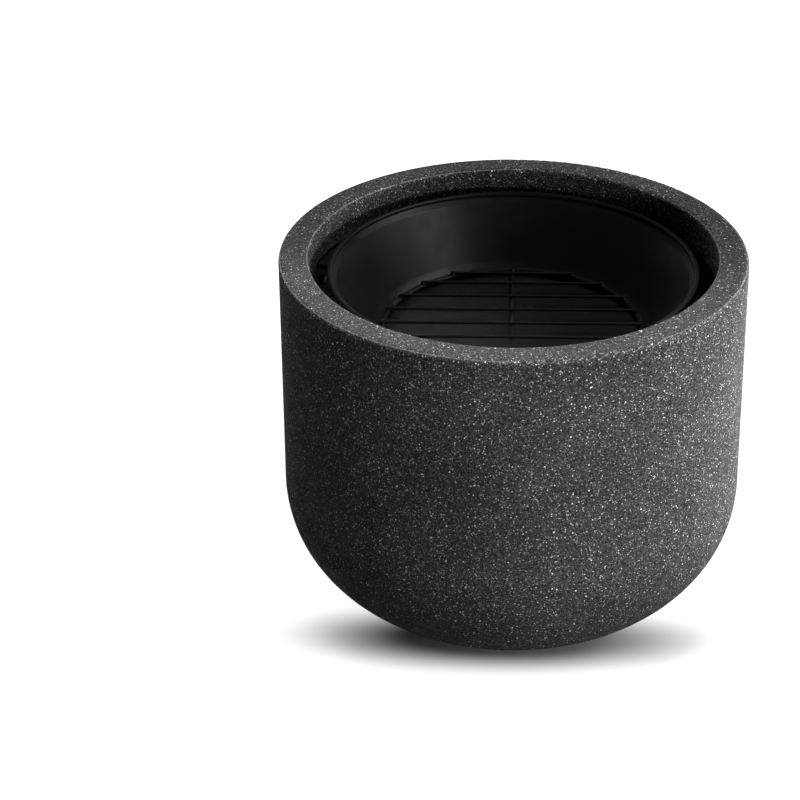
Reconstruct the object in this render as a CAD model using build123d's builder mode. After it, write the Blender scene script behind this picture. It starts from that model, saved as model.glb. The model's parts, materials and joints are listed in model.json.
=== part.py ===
from build123d import *
from math import cos, degrees, radians, sin, sqrt, tan
import os

# Round outdoor fire pit: a thin cast shell with a turned-in rim, a lift-out fire bowl of pressed steel
# and a welded wire grate that rests in the bowl. Millimetres, +Z up. The origin is the middle of the
# base, the front faces -Y and the air slot is in the back wall, at +Y.

# Shell
SHELL_HEIGHT = 330.0
RIM_DIAMETER = 404.0  # outside, at the top
WALL_DRAFT = 0.52  # degrees, the shell widens downwards
CORNER_RADIUS = 114.0  # outside of the rounded bottom corner
RIM_WIDTH = 26.0  # level top of the rim, from its outside to the mouth
RIM_ROUND = 4.0  # both edges of the rim
LIP_DEPTH = 33.0  # the thick lip under the rim
LIP_BEVEL = 2.5  # lower edge of the lip
WALL = 16.0
BASE = 20.0

# Air slot
SLOT_WIDTH = 105.0
SLOT_HEIGHT = 28.0
SLOT_CORNER = 6.0
SLOT_ROUND = 2.0  # outside edge of the slot
SLOT_BELOW_BOWL = 34.0  # top of the slot below the underside of the bowl

# Fire bowl
BOWL_GAP = 15.5  # between the mouth and the bead of the bowl
BOWL_DROP = 15.0  # top of the bead below the rim of the shell
BOWL_DEPTH = 65.0  # from the top of the bead to the floor
BOWL_SHEET = 2.0
BOWL_TAPER = 33.0  # degrees, wall from the vertical
BOWL_CORNER = 25.0  # inside, between wall and floor
BEAD_DIAMETER = 4.5  # rolled edge
SHOULDER_WIDTH = 5.75  # from the top of the wall out to the middle of the bead
SHOULDER_RISE = 5.5  # from the top of the wall up to the middle of the bead
SHOULDER_BEND = 4.0

# Grate
RING_WIRE = 5.0
BAR_WIRE = 3.0
ROD_WIRE = 3.0
BAR_COUNT = 9
BAR_EDGE = 14.0  # outermost bars, in from the middle of the ring's wire
BAR_END_PITCH = 20.0  # between an outermost bar and the next
BAR_OVERHANG = 2.0  # bar ends, past the middle of the ring's wire
GRATE_RISE = 6.0  # middle of the ring's wire above the floor of the bowl

# Brackets that carry the bowl
BRACKET_COUNT = 3
BRACKET_TURN = 162.0  # degrees from +X to the first bracket
BRACKET_WIDTH = 36.0  # along the wall of the shell
BRACKET_SHEET = 3.0
BRACKET_LEG = 44.0  # down the wall of the shell
BRACKET_TAB = 14.0  # down the wall of the bowl
BRACKET_BEND = 6.0  # outside of each bend
SCREW_DIAMETER = 4.5
SCREW_HEAD_DIAMETER = 9.0
SCREW_HEAD_HEIGHT = 3.0
SCREW_HEAD_ROUND = 2.0
SCREW_SPACING = 18.0  # between the two screws of a bracket, along the wall
SCREW_DROP = 28.0  # screws below the lip
SCREW_SHORT = 1.0  # tip of a screw short of the end of its plug
PLUG_DIAMETER = 8.0
PLUG_COVER = 4.0  # wall left behind a plug

# Clearances
FIT_GAP = 0.1  # between pieces that are fixed together
SCREW_PLAY = 0.25  # round a screw, in its bracket
SEAT_GAP = 0.3  # between the bowl and its brackets, and between the grate and the bowl
WELD_GAP = 0.05  # between wires that are welded together

# Shell, worked out
rim_radius = RIM_DIAMETER / 2
mouth_radius = rim_radius - RIM_WIDTH
foot_radius = rim_radius + SHELL_HEIGHT * tan(radians(WALL_DRAFT))
lip_level = SHELL_HEIGHT - LIP_DEPTH


def wall_inside(level):
    """Inside radius of the shell's side wall at a level."""
    return foot_radius - level * tan(radians(WALL_DRAFT)) - WALL


# Fire bowl, worked out
taper = radians(BOWL_TAPER)
bowl_top = SHELL_HEIGHT - BOWL_DROP
bowl_floor = bowl_top - BOWL_DEPTH
bead_radius = mouth_radius - BOWL_GAP - BEAD_DIAMETER / 2
bead_level = bowl_top - BEAD_DIAMETER / 2
bowl_wall_top = bead_level - SHOULDER_RISE


def bowl_inside(level):
    """Inside radius of the bowl's tapered wall at a level."""
    return bead_radius - SHOULDER_WIDTH - (bowl_wall_top - level) * tan(taper)


def beside_bowl(level, gap):
    """Radius at a level that leaves a gap, square to the tapered wall, outside the inner face of the bowl."""
    return bowl_inside(level) + gap / cos(taper)


# Grate, worked out
corner_top = bowl_floor + BOWL_CORNER * (1 - sin(taper))
corner_middle = bowl_inside(corner_top) - BOWL_CORNER * cos(taper)
ring_level = bowl_floor + GRATE_RISE
ring_reach = BOWL_CORNER - RING_WIRE / 2 - SEAT_GAP
ring_radius = corner_middle + sqrt(ring_reach**2 - (BOWL_CORNER - GRATE_RISE) ** 2)
bar_level = ring_level + RING_WIRE / 2 + WELD_GAP + BAR_WIRE / 2
outer_bar = ring_radius - BAR_EDGE
next_bar = outer_bar - BAR_END_PITCH
bar_pitch = 2 * next_bar / (BAR_COUNT - 3)
inner_bars = [i * bar_pitch - next_bar for i in range(BAR_COUNT - 2)]
bar_places = [-outer_bar, *inner_bars, outer_bar]
rod_level = bar_level - BAR_WIRE / 2 - WELD_GAP - ROD_WIRE / 2
rod_reach = ring_radius - RING_WIRE / 2 - WELD_GAP

# Brackets, worked out
bracket_top = lip_level - FIT_GAP
leg_foot = bracket_top - BRACKET_LEG
tab_radius = beside_bowl(bracket_top, BOWL_SHEET + SEAT_GAP)
bracket_arc = degrees(BRACKET_WIDTH / wall_inside(bracket_top))
bracket_turns = [BRACKET_TURN + 360 / BRACKET_COUNT * i for i in range(BRACKET_COUNT)]

screw_level = lip_level - SCREW_DROP
screw_wall = wall_inside(screw_level)
screw_seat = screw_wall - BRACKET_SHEET - 2 * FIT_GAP
screw_swing = degrees(SCREW_SPACING / 2 / screw_wall)
screw_turns = [turn + side * screw_swing for turn in bracket_turns for side in (-1, 1)]
plug_length = WALL - PLUG_COVER
screw_length = screw_wall - screw_seat + plug_length - SCREW_SHORT


def upright_plane(turn):
    """Plane through the axis of the pit, with its X pointing out at an angle and its Y up."""
    out = radians(turn)
    return Plane(origin=(0, 0, 0), x_dir=(cos(out), sin(out), 0), z_dir=(sin(out), -cos(out), 0))


def wall_plane(turn, radius, level):
    """Plane that faces outwards at an angle, at a radius and a level."""
    out = radians(turn)
    return Plane(origin=(radius * cos(out), radius * sin(out), level), z_dir=(cos(out), sin(out), 0))


def finish(builder, name):
    """Name a finished piece and write it to its file."""
    builder.part.label = name
    export_step(builder.part, f"parts/{name}.step")


os.makedirs("parts", exist_ok=True)

# Shell: one turned section, then the air slot and the holes for the plugs
with BuildPart() as shell:
    with BuildSketch(Plane.XZ):
        with BuildLine():
            FilletPolyline(
                (0, 0),
                (foot_radius, 0),
                (rim_radius, SHELL_HEIGHT),
                (mouth_radius, SHELL_HEIGHT),
                (mouth_radius, lip_level + LIP_BEVEL),
                (mouth_radius + LIP_BEVEL, lip_level),
                (wall_inside(lip_level), lip_level),
                (wall_inside(BASE), BASE),
                (0, BASE),
                radius=[0, CORNER_RADIUS, RIM_ROUND, RIM_ROUND, 0, 0, 0, CORNER_RADIUS - WALL, 0],
                close=True,
            )
        make_face()
    revolve(axis=Axis.Z)

    slot_level = bowl_floor - BOWL_SHEET - SLOT_BELOW_BOWL - SLOT_HEIGHT / 2
    with BuildSketch(Plane(origin=(0, 0, slot_level), x_dir=(-1, 0, 0), z_dir=(0, 1, 0))):
        RectangleRounded(SLOT_WIDTH, SLOT_HEIGHT, SLOT_CORNER)
    extrude(amount=foot_radius, mode=Mode.SUBTRACT)
    slot_mid_wall = wall_inside(slot_level) + WALL / 2
    outer_edges = shell.edges(Select.LAST).filter_by(
        lambda edge: all(sqrt(v.X**2 + v.Y**2) > slot_mid_wall for v in edge.vertices())
    )
    fillet(outer_edges, radius=SLOT_ROUND)

    with BuildSketch(*[wall_plane(turn, screw_seat, screw_level) for turn in screw_turns]):
        Circle(PLUG_DIAMETER / 2 + FIT_GAP)
    extrude(amount=screw_wall - screw_seat + plug_length, mode=Mode.SUBTRACT)
finish(shell, "shell")

# Fire bowl: the pressed sheet from the middle of the floor up to the shoulder, with the rolled bead
with BuildPart() as fire_bowl:
    with BuildSketch(Plane.XZ):
        with BuildLine():
            FilletPolyline(
                (0, bowl_floor),
                (bowl_inside(bowl_floor), bowl_floor),
                (bowl_inside(bowl_wall_top), bowl_wall_top),
                (bead_radius, bead_level),
                radius=[BOWL_CORNER, SHOULDER_BEND],
            )
            offset(amount=BOWL_SHEET, side=Side.RIGHT)
        make_face()
        with Locations((bead_radius, bead_level)):
            Circle(BEAD_DIAMETER / 2)
    revolve(axis=Axis.Z)
finish(fire_bowl, "fire_bowl")

# Brackets: a bent strip that follows the round wall, from its leg under the lip to its tab along the bowl
for number, turn in enumerate(bracket_turns, start=1):
    with BuildPart() as bracket:
        with BuildSketch(upright_plane(turn - bracket_arc / 2)):
            with BuildLine():
                FilletPolyline(
                    (wall_inside(leg_foot) - FIT_GAP, leg_foot),
                    (wall_inside(bracket_top) - FIT_GAP, bracket_top),
                    (tab_radius, bracket_top),
                    (tab_radius - BRACKET_TAB * sin(taper), bracket_top - BRACKET_TAB * cos(taper)),
                    radius=BRACKET_BEND,
                )
                offset(amount=BRACKET_SHEET, side=Side.LEFT)
            make_face()
        revolve(axis=Axis.Z, revolution_arc=bracket_arc)
        with BuildSketch(*[wall_plane(t, screw_seat, screw_level) for t in screw_turns]):
            Circle(SCREW_DIAMETER / 2 + SCREW_PLAY)
        extrude(amount=WALL, mode=Mode.SUBTRACT)
    finish(bracket, f"bowl_bracket_{number}")

# Bracket screws: pan heads inside the brackets, shanks out into the plugs
with BuildPart() as bracket_screws:
    screw_planes = [wall_plane(turn, screw_seat, screw_level) for turn in screw_turns]
    with BuildSketch(*screw_planes):
        Circle(SCREW_HEAD_DIAMETER / 2)
    extrude(amount=-SCREW_HEAD_HEIGHT)
    head_tops = bracket_screws.edges().filter_by(
        lambda edge: all(sqrt(v.X**2 + v.Y**2) < screw_seat - SCREW_HEAD_HEIGHT / 2 for v in edge.vertices())
    )
    fillet(head_tops, radius=SCREW_HEAD_ROUND)
    with BuildSketch(*screw_planes):
        Circle(SCREW_DIAMETER / 2)
    extrude(amount=screw_length)
finish(bracket_screws, "bracket_screws")

# Wall plugs: sleeves set flush in the shell
with BuildPart() as wall_plugs:
    with BuildSketch(*[wall_plane(turn, screw_wall, screw_level) for turn in screw_turns]):
        Circle(PLUG_DIAMETER / 2)
        Circle(SCREW_DIAMETER / 2 + FIT_GAP, mode=Mode.SUBTRACT)
    extrude(amount=plug_length - FIT_GAP)
finish(wall_plugs, "wall_plugs")

# Grate: a ring that rests on the corner of the bowl, bars laid across it and a cross rod under the bars
with BuildPart() as grate_ring:
    with BuildSketch(Plane.XZ):
        with Locations((ring_radius, ring_level)):
            Circle(RING_WIRE / 2)
    revolve(axis=Axis.Z)
finish(grate_ring, "grate_ring")

for number, bar_place in enumerate(bar_places, start=1):
    bar_reach = sqrt(ring_radius**2 - bar_place**2) + BAR_OVERHANG
    with BuildPart() as grate_bar:
        with BuildSketch(Plane.YZ.offset(-bar_reach)):
            with Locations((bar_place, bar_level)):
                Circle(BAR_WIRE / 2)
        extrude(amount=2 * bar_reach)
    finish(grate_bar, f"grate_bar_{number}")

with BuildPart() as grate_cross_rod:
    with BuildSketch(Plane.XZ.offset(-rod_reach)):
        with Locations((0, rod_level)):
            Circle(ROD_WIRE / 2)
    extrude(amount=2 * rod_reach)
finish(grate_cross_rod, "grate_cross_rod")
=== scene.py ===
import json
import math

import bmesh
import bpy
from mathutils import Matrix, Vector, noise


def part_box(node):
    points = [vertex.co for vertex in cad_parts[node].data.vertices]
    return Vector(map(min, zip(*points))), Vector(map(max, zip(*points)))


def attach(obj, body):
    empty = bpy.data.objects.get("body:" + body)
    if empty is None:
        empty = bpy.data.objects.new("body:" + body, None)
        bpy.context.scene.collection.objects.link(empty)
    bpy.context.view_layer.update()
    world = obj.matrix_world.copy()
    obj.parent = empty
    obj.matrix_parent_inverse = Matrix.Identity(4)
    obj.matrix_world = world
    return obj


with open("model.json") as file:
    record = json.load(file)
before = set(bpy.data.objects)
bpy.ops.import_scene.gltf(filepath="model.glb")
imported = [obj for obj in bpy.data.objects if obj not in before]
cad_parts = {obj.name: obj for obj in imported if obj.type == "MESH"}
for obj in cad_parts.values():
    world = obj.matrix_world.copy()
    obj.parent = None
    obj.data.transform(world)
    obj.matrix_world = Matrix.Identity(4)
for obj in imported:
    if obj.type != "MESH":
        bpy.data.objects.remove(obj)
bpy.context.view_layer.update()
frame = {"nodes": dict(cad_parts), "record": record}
nodes = frame["nodes"]

# Camera, in metres and degrees: it stands facing the middle of the pit, then turns a little off it
CAMERA_TARGET = Vector((0, 0, 0.165))
CAMERA_DISTANCE = 2.0373
CAMERA_ELEVATION = 29.617
CAMERA_YAW = -2.805
CAMERA_PITCH = 0.403
CAMERA_ROLL = 0.642
CAMERA_LENS = 102.14
CAMERA_SENSOR = 36.0

# Cast stone: sizes, heights and depths are in metres, and radii of pits and flecks in cells
STONE_GRAIN = 0.0008
STONE_GRAIN_DEPTH = 0.00022
STONE_TONES = (  # share of the grains, and their brightness
    (0.0, 0.006),
    (0.15, 0.014),
    (0.5, 0.030),
    (0.75, 0.050),
    (0.9, 0.08),
    (0.962, 0.14),
    (0.988, 0.32),
    (1.0, 0.6),
)
STONE_CLOUD = 0.07
STONE_CLOUD_RANGE = (0.86, 1.14)  # what the clouds multiply its brightness by
STONE_LOW_SHADE_HEIGHT = 0.14  # how high the painted shade near the ground reaches
STONE_LOW_SHADE_LEFT = 0.28  # what is left of its brightness at the ground
# The colour of the pits, a painted shade in their hollows
STONE_PIT_SHADE = (0.006, 0.006, 0.006, 1)
STONE_PIT_CELL = 0.0065
STONE_PIT_RADIUS = 0.15  # of the largest
STONE_PIT_DEPTH = 0.0004
STONE_FLECK = (0.88, 0.88, 0.87, 1)
STONE_FLECK_CELL = 0.004
STONE_FLECK_RADIUS = 0.09  # of the smallest
STONE_FLECK_MORE = 0.12  # what chance adds to that radius, at most
STONE_FLECK_HIDDEN = 0.35  # share of the flecks that don't show
# Painted sheen: the top of the rim is lightened towards this grey
STONE_TOP_SHEEN = (0.066, 0.066, 0.066, 1)
STONE_TOP_SHEEN_SHARE = 0.18
STONE_WORN = (0.14, 0.14, 0.138, 1)
STONE_WORN_SHARE = 0.4
STONE_WORN_PATCH = 0.004
STONE_WORN_SMOOTH = -0.85  # what wear adds to the height of the bumps
STONE_WORN_POLISH = -0.54  # what wear adds to the roughness
STONE_WORN_SHINE = 0.9  # what wear adds to the shine
STONE_SHINE = 0.025
STONE_ROUGH = (0.74, 0.9)
STONE_ROUGH_PATCH = 0.012
STONE_LUMP = 0.0032
STONE_LUMP_DEPTH = 0.00035

# Painted steel, with sizes in metres
PAINT_BLACK = (0.005, 0.005, 0.0051, 1)
PAINT_DUST = (0.0105, 0.0105, 0.0104, 1)
PAINT_DUST_PATCH = 0.035
PAINT_DUST_SPECK = 0.0016
PAINT_RUBBED_PATCH = 0.02
PAINT_RIPPLE = 0.0022

# Weld beads of the grate, in metres: half their size along X, Y and Z
WELD_ON_RING = Vector((0.0027, 0.0027, 0.0015))
WELD_ON_ROD = Vector((0.0021, 0.0021, 0.0011))
WELD_ROD_END = Vector((0.0022, 0.0014, 0.0021))
WELD_LUMPS = 0.3  # how uneven they are
WELD_SHIFT = (3.7, 1.9, 0.6)  # from bead to bead, so that no two are alike

# Stage, in metres
FLOOR_RADIUS = 10.0
FLOOR_SIDES = 96
FLOOR_GREY = 0.06  # as the lamps find it
FLOOR_GREY_SEEN = 0.06  # added as the camera and reflections see it
WALL_HEIGHT = 2.3
PAINTED_SHADOWS = (  # painted shadows on the floor: middle, half sizes along X and Y, and the share of these in full shadow
    ((-0.006, -0.108), (0.24, 0.0635), 0.33),
    ((0, 0), (0.163, 0.163), 0.6),
)

# Lamps: place, target, width and height in metres, power in watts, angle of the beam in degrees
STONE_LAMPS = {
    "over_rim": ((-0.03, -0.14, 0.58), (-0.03, -0.14, 0), (0.44, 0.24), 0.56, 38),
    "overhead": ((0.45, 0.45, 2.4), (0, 0, 0.3), (0.6, 0.6), 43, 180),
    "right_front": ((1.13, -0.37, 0.24), (0, 0, 0.17), (0.6, 0.35), 13, 180),
    "front": ((0.95, -0.95, 0.4), (0, 0, 0.17), (0.6, 0.35), 15.5, 180),
    "front_fill": ((0.2, -1.4, 0.25), (0, 0, 0.17), (0.6, 0.35), 3, 180),
    "right_back": ((1.05, 0.65, 0.25), (0, 0, 0.17), (0.5, 0.35), 66, 180),
    "left_back": ((-0.52, 1.12, 0.25), (0, 0, 0.17), (0.6, 0.35), 14, 180),
    "far_side": ((-0.4, 1.1, 0.75), (0, 0, 0.17), (0.6, 0.4), 8, 180),
}
SHEEN_LAMPS = {
    "bowl_sheen": ((0.95, -0.08, 1.25), (0, 0, 0.27), (1.2, 0.5), 13, 180),
    "grate_sheen": ((-0.19, 0.72, 1.2), (-0.055, 0, 0.25), (0.1, 0.1), 0.018, 9),
}
ROOM_LIGHT = 0.03


class Finish:
    """A node material, with short calls that add nodes and join them up."""

    def __init__(self, name):
        self.material = bpy.data.materials.new(name)
        self.material.use_nodes = True
        self.tree = self.material.node_tree
        self.shader = self.tree.nodes["Principled BSDF"]
        self.place = self.add("ShaderNodeTexCoord").outputs["Object"]

    def add(self, kind, **settings):
        node = self.tree.nodes.new(kind)
        for key, value in settings.items():
            setattr(node, key, value)
        return node

    def join(self, value, socket):
        """Link a socket to another node's output, or set it to a number or a colour."""
        if isinstance(value, bpy.types.NodeSocket):
            self.tree.links.new(value, socket)
        else:
            socket.default_value = value

    def set(self, **values):
        """Set or link inputs of the surface shader, named with _ for a space."""
        for key, value in values.items():
            self.join(value, self.shader.inputs[key.replace("_", " ")])

    def math(self, operation, first, second=0.0, third=0.0):
        node = self.add("ShaderNodeMath", operation=operation)
        for socket, value in zip(node.inputs, (first, second, third)):
            self.join(value, socket)
        return node.outputs[0]

    def product(self, first, second):
        return self.math("MULTIPLY", first, second)

    def noise(self, size, detail=2.0, roughness=0.5):
        """Soft noise from 0 to 1, with blotches of a size in metres."""
        node = self.add("ShaderNodeTexNoise")
        self.join(self.place, node.inputs["Vector"])
        self.join(1 / size, node.inputs["Scale"])
        self.join(detail, node.inputs["Detail"])
        self.join(roughness, node.inputs["Roughness"])
        return node.outputs["Fac"]

    def cells(self, size):
        """Random cells of a size in metres: distance to their middles, in cells, and two random numbers."""
        node = self.add("ShaderNodeTexVoronoi")
        self.join(self.place, node.inputs["Vector"])
        self.join(1 / size, node.inputs["Scale"])
        split = self.add("ShaderNodeSeparateColor")
        self.join(node.outputs["Color"], split.inputs[0])
        return node.outputs["Distance"], split.outputs[0], split.outputs[1]

    def ramp(self, value, low, high, start=0.0, end=1.0):
        """Smooth step of a value from start, at low, to end, at high."""
        node = self.add("ShaderNodeMapRange", interpolation_type="SMOOTHSTEP")
        for socket, item in zip(node.inputs, (value, low, high, start, end)):
            self.join(item, socket)
        return node.outputs[0]

    def curve(self, value, points):
        """A grey that follows points of value and brightness."""
        node = self.add("ShaderNodeValToRGB")
        stops = node.color_ramp.elements
        while len(stops) < len(points):
            stops.new(1.0)
        for stop, (place, level) in zip(stops, points):
            stop.position = place
            stop.color = (level, level, level, 1)
        self.join(value, node.inputs["Fac"])
        return node.outputs["Color"]

    def mix(self, share, first, second):
        node = self.add("ShaderNodeMix", data_type="RGBA")
        self.join(share, node.inputs["Factor"])
        self.join(first, node.inputs[6])
        self.join(second, node.inputs[7])
        return node.outputs[2]

    def grey(self, value):
        """A grey colour of a brightness."""
        node = self.add("ShaderNodeCombineColor")
        for socket in node.inputs:
            self.join(value, socket)
        return node.outputs[0]

    def bump(self, height, depth, under=None):
        """Normals of a surface with a height from 0 to 1 and a depth in metres."""
        node = self.add("ShaderNodeBump")
        self.join(depth, node.inputs["Distance"])
        self.join(height, node.inputs["Height"])
        if under is not None:
            self.join(under, node.inputs["Normal"])
        return node.outputs[0]

    def upward(self, vector):
        """The Z of a vector."""
        split = self.add("ShaderNodeSeparateXYZ")
        self.join(vector, split.inputs[0])
        return split.outputs["Z"]

    def facing(self):
        """How far the surface itself faces up, from -1 to 1."""
        return self.upward(self.add("ShaderNodeNewGeometry").outputs["True Normal"])

    def height(self):
        """Height above the ground at rest, in metres."""
        return self.upward(self.place)


def cast_stone():
    """Dark cast stone: fine grain, small bright specks, sparse larger flecks, pits and worn light edges."""
    stone = Finish("cast_stone")
    height = stone.height()
    grain_near, grain_tone, _ = stone.cells(STONE_GRAIN)
    cloud = stone.ramp(stone.noise(STONE_CLOUD, 3.0), 0.25, 0.75, *STONE_CLOUD_RANGE)
    # Painted shade: the stone is darker towards the ground
    low_shade = stone.ramp(height, 0.0, STONE_LOW_SHADE_HEIGHT, STONE_LOW_SHADE_LEFT, 1.0)
    tone = stone.product(stone.product(stone.curve(grain_tone, STONE_TONES), cloud), low_shade)
    colour = stone.grey(tone)

    # Pits: hollows in the surface, darkened with painted shade
    pit_near, pit_size, _ = stone.cells(STONE_PIT_CELL)
    pit_edge = stone.product(pit_size, STONE_PIT_RADIUS)
    pit = stone.ramp(pit_near, stone.product(pit_edge, 0.5), pit_edge, 1.0, 0.0)
    colour = stone.mix(pit, colour, STONE_PIT_SHADE)

    # Flecks
    fleck_near, fleck_size, fleck_tone = stone.cells(STONE_FLECK_CELL)
    fleck_edge = stone.math("MULTIPLY_ADD", fleck_size, STONE_FLECK_MORE, STONE_FLECK_RADIUS)
    fleck = stone.ramp(fleck_near, stone.product(fleck_edge, 0.6), fleck_edge, 1.0, 0.0)
    fleck = stone.product(fleck, stone.ramp(fleck_tone, STONE_FLECK_HIDDEN, 1.0))
    colour = stone.mix(fleck, colour, STONE_FLECK)

    # The top of the rim is painted lighter as a sheen, and its rounded edges are worn smooth in patches
    rise = stone.facing()
    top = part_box("shell")[1].z
    rubbed_and_sheen = stone.product(stone.ramp(rise, 0.8, 0.97), stone.ramp(height, top - 0.004, top - 0.001))
    colour = stone.mix(stone.product(rubbed_and_sheen, STONE_TOP_SHEEN_SHARE), colour, STONE_TOP_SHEEN)
    on_edge = stone.product(stone.ramp(rise, 0.58, 0.7), stone.ramp(rise, 0.74, 0.9, 1.0, 0.0))
    near_top = stone.ramp(height, top - 0.005, top - 0.004)
    broken = stone.ramp(stone.noise(STONE_WORN_PATCH, 3.0, 0.7), 0.3, 0.55)
    worn = stone.product(stone.product(on_edge, near_top), broken)
    colour = stone.mix(stone.product(worn, STONE_WORN_SHARE), colour, STONE_WORN)

    # Bumps, roughness and shine
    rugged = stone.math("MULTIPLY_ADD", worn, STONE_WORN_SMOOTH, 1.0)
    coarse = stone.bump(stone.product(stone.noise(STONE_LUMP, 3.0, 0.6), rugged), STONE_LUMP_DEPTH)
    fine = stone.bump(stone.product(grain_near, rugged), STONE_GRAIN_DEPTH, coarse)
    surface = stone.bump(stone.math("SUBTRACT", 1.0, pit), STONE_PIT_DEPTH, fine)
    rough = stone.ramp(stone.noise(STONE_ROUGH_PATCH), 0.3, 0.7, *STONE_ROUGH)
    rough = stone.math("MULTIPLY_ADD", worn, STONE_WORN_POLISH, rough)
    shine = stone.math("MULTIPLY_ADD", worn, STONE_WORN_SHINE, STONE_SHINE)
    stone.set(Base_Color=colour, Roughness=rough, Normal=surface, Specular_IOR_Level=shine)
    return stone.material


def black_paint(name, rough, shine, peel):
    """Satin black paint on steel, with slight orange peel of a depth in metres, dust and rubbed patches."""
    paint = Finish(name)
    dust = paint.ramp(paint.noise(PAINT_DUST_PATCH, 4.0, 0.6), 0.45, 0.8, 0.0, 0.35)
    specks = paint.ramp(paint.noise(PAINT_DUST_SPECK, 2.0, 0.6), 0.66, 0.76, 0.0, 0.25)
    cover = paint.math("MAXIMUM", dust, specks)
    rubbed_and_sheen = paint.noise(PAINT_RUBBED_PATCH, 3.0, 0.65)
    paint.set(
        Base_Color=paint.mix(cover, PAINT_BLACK, PAINT_DUST),
        Roughness=paint.ramp(rubbed_and_sheen, 0.3, 0.7, rough - 0.05, rough + 0.07),
        Normal=paint.bump(paint.noise(PAINT_RIPPLE), peel),
        Specular_IOR_Level=shine,
    )
    return paint.material


def dark_steel():
    """Blackened screw steel with a faint fine bump and dull spots."""
    steel = Finish("dark_steel")
    blotch = steel.noise(0.0015, 3.0, 0.6)
    steel.set(
        Base_Color=steel.mix(blotch, (0.13, 0.13, 0.135, 1), (0.24, 0.24, 0.24, 1)),
        Roughness=steel.ramp(blotch, 0.3, 0.7, 0.28, 0.46),
        Normal=steel.bump(steel.noise(0.0004), 0.00003),
        Metallic=1.0,
    )
    return steel.material


def plug_plastic():
    """Grey moulded plastic with a fine grain."""
    plastic = Finish("plug_plastic")
    mottle = plastic.noise(0.003, 3.0)
    plastic.set(
        Base_Color=plastic.mix(mottle, (0.24, 0.24, 0.25, 1), (0.34, 0.34, 0.345, 1)),
        Roughness=plastic.ramp(mottle, 0.3, 0.7, 0.5, 0.65),
        Normal=plastic.bump(plastic.noise(0.0005), 0.00004),
    )
    return plastic.material


def dress(material, *names):
    """Give CAD nodes a material."""
    for name in names:
        mesh = nodes[name].data
        mesh.materials.clear()
        mesh.materials.append(material)


def add_object(name, data):
    """Put a new object in the scene."""
    item = bpy.data.objects.new(name, data)
    bpy.context.scene.collection.objects.link(item)
    return item


def add_weld(shape, place, size, number):
    """Add one weld bead to a mesh: a small uneven lump."""
    shift = Vector([number * step for step in WELD_SHIFT])
    for vert in bmesh.ops.create_icosphere(shape, subdivisions=3, radius=1.0)["verts"]:
        lump = 1 + WELD_LUMPS * noise.noise(vert.co * 1.3 + shift)
        vert.co = Vector(place) + vert.co * lump * size


def make_welds(grate_nodes, paint):
    """The weld beads that hold the grate's wires together, where the bars cross the ring and the rod."""
    ring_low, ring_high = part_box("grate_ring")
    wire = ring_high.z - ring_low.z
    ring_radius = (ring_high.x - ring_low.x - wire) / 2
    beads = []
    for name in sorted(n for n in grate_nodes if n.startswith("grate_bar")):
        low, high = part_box(name)
        across = (low.y + high.y) / 2
        reach = math.sqrt(ring_radius**2 - across**2)
        beads.append(((-reach, across, low.z), WELD_ON_RING))
        beads.append(((0, across, low.z), WELD_ON_ROD))
        beads.append(((reach, across, low.z), WELD_ON_RING))
    low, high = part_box("grate_cross_rod")
    for end in (low.y, high.y):
        beads.append(((0, end, (low.z + high.z) / 2), WELD_ROD_END))
    shape = bmesh.new()
    for number, (place, size) in enumerate(beads):
        add_weld(shape, place, size, number)
    mesh = bpy.data.meshes.new("grate_welds")
    shape.to_mesh(mesh)
    shape.free()
    mesh.shade_smooth()
    mesh.materials.append(paint)
    welds = add_object("grate_welds", mesh)
    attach(welds, "grate")


def stage_material():
    """White to the camera and in reflections, except in painted shadow ellipses by the pit, where the dark
    floor shows as it is lit.
    """
    white = Finish("stage_white")
    white.tree.nodes.remove(white.shader)
    away = 1.0
    # Each painted shadow dims the white glow inside its ellipse
    for middle, size, full in PAINTED_SHADOWS:
        place = white.add("ShaderNodeMapping", vector_type="TEXTURE")
        white.join(white.place, place.inputs["Vector"])
        white.join((*middle, 0), place.inputs["Location"])
        white.join((*size, 1), place.inputs["Scale"])
        reach = white.add("ShaderNodeVectorMath", operation="LENGTH")
        white.join(place.outputs[0], reach.inputs[0])
        away = white.math("MINIMUM", away, white.ramp(reach.outputs["Value"], full, 1.0))
    path = white.add("ShaderNodeLightPath").outputs
    seen = white.math("MAXIMUM", path["Is Camera Ray"], path["Is Glossy Ray"])
    seen = white.math("MAXIMUM", seen, path["Is Transmission Ray"])
    glow = white.add("ShaderNodeEmission")
    white.join(white.product(seen, away), glow.inputs["Strength"])
    floor = white.add("ShaderNodeBsdfDiffuse")
    grey = white.grey(white.math("MULTIPLY_ADD", seen, FLOOR_GREY_SEEN, FLOOR_GREY))
    white.join(grey, floor.inputs["Color"])
    both = white.add("ShaderNodeAddShader")
    white.join(glow.outputs[0], both.inputs[0])
    white.join(floor.outputs[0], both.inputs[1])
    white.join(both.outputs[0], white.tree.nodes["Material Output"].inputs["Surface"])
    return white.material


def make_stage():
    """A round white floor with a low wall far behind the pit on every side."""
    mesh = bpy.data.meshes.new("stage")
    shape = bmesh.new()
    circle = bmesh.ops.create_circle(shape, cap_ends=True, radius=FLOOR_RADIUS, segments=FLOOR_SIDES)
    edges = [edge for edge in shape.edges if all(vert in circle["verts"] for vert in edge.verts)]
    raised = bmesh.ops.extrude_edge_only(shape, edges=edges)["geom"]
    for vert in raised:
        if isinstance(vert, bmesh.types.BMVert):
            vert.co.z += WALL_HEIGHT
    shape.to_mesh(mesh)
    shape.free()
    mesh.materials.append(stage_material())
    stage = add_object("stage", mesh)


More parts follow.
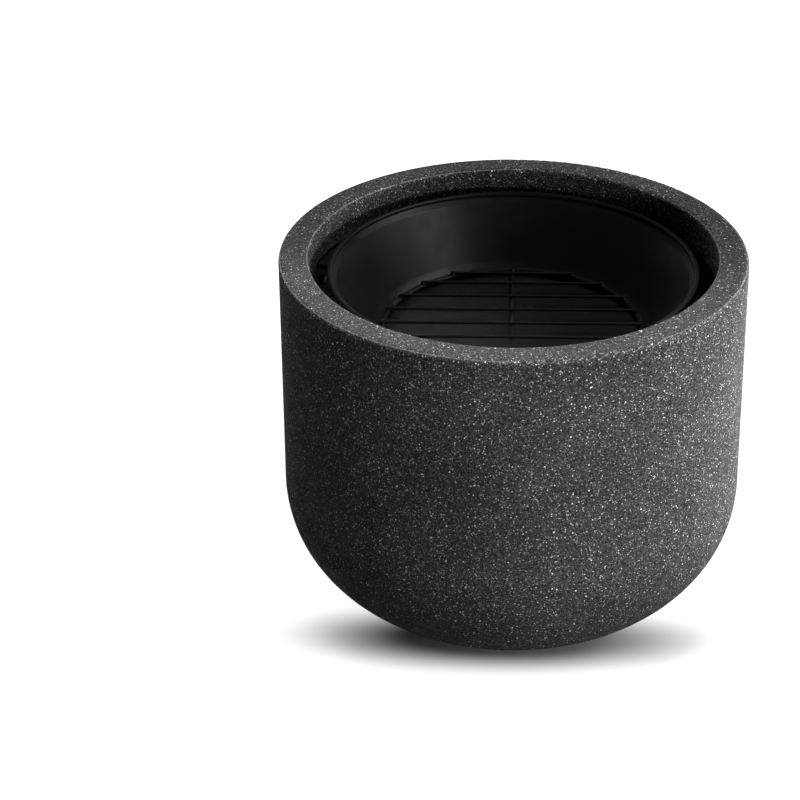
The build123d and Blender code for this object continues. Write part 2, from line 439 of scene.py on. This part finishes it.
def make_camera():
    """The camera, aimed by its own axes so that its shift stays at nothing."""
    tilt, yaw, pitch, roll = (
        math.radians(angle) for angle in (CAMERA_ELEVATION, CAMERA_YAW, CAMERA_PITCH, CAMERA_ROLL)
    )
    back = Vector((0, -math.cos(tilt), math.sin(tilt)))
    right = Vector((1, 0, 0))
    up = right.cross(-back)
    ahead = -back * math.cos(yaw) * math.cos(pitch)
    look = ahead + right * math.sin(yaw) * math.cos(pitch) + up * math.sin(pitch)
    level = look.cross(up).normalized()
    above = level.cross(look)
    side = level * math.cos(roll) + above * math.sin(roll)
    above = above * math.cos(roll) - level * math.sin(roll)
    data = bpy.data.cameras.new("camera")
    data.lens = CAMERA_LENS
    data.sensor_width = CAMERA_SENSOR
    camera = add_object("camera", data)
    turn = Matrix((side, above, -look)).transposed().to_4x4()
    camera.matrix_world = Matrix.Translation(CAMERA_TARGET + back * CAMERA_DISTANCE) @ turn
    bpy.context.scene.camera = camera


def soft_light(name, place, target, size, power, spread):
    """A soft rectangular lamp that the camera doesn't see."""
    data = bpy.data.lights.new(name, "AREA")
    data.shape = "RECTANGLE"
    data.size, data.size_y = size
    data.energy = power
    data.spread = math.radians(spread)
    lamp = add_object(name, data)
    lamp.location = place
    lamp.rotation_euler = (Vector(target) - Vector(place)).to_track_quat("-Z", "Y").to_euler()
    lamp.visible_camera = False
    return lamp


def make_light():
    """Soft lamps for the stone, soft lamps for the sheen of the black paint, and a dim room around them."""
    for name, settings in STONE_LAMPS.items():
        soft_light(name, *settings).visible_glossy = False
    for name, settings in SHEEN_LAMPS.items():
        soft_light(name, *settings).visible_diffuse = False
    room = bpy.data.worlds.new("room")
    room.use_nodes = True
    background = room.node_tree.nodes["Background"].inputs
    background["Color"].default_value = (1, 1, 1, 1)
    background["Strength"].default_value = ROOM_LIGHT
    bpy.context.scene.world = room


stone = cast_stone()
bowl_paint = black_paint("bowl_paint", 0.37, 0.14, 0.00003)
wire_paint = black_paint("wire_paint", 0.5, 0.14, 0.00002)
bracket_paint = black_paint("bracket_paint", 0.5, 0.2, 0.00003)

grate_nodes = frame["record"]["behaviour"]["bodies"]["grate"]
bracket_nodes = [name for name in nodes if name.startswith("bowl_bracket")]
dress(stone, "shell")
dress(bowl_paint, "fire_bowl")
dress(wire_paint, *grate_nodes)
dress(bracket_paint, *bracket_nodes)
dress(dark_steel(), "bracket_screws")
dress(plug_plastic(), "wall_plugs")

make_welds(grate_nodes, wire_paint)
make_stage()
make_camera()
make_light()
bpy.context.scene.view_settings.view_transform = "Standard"
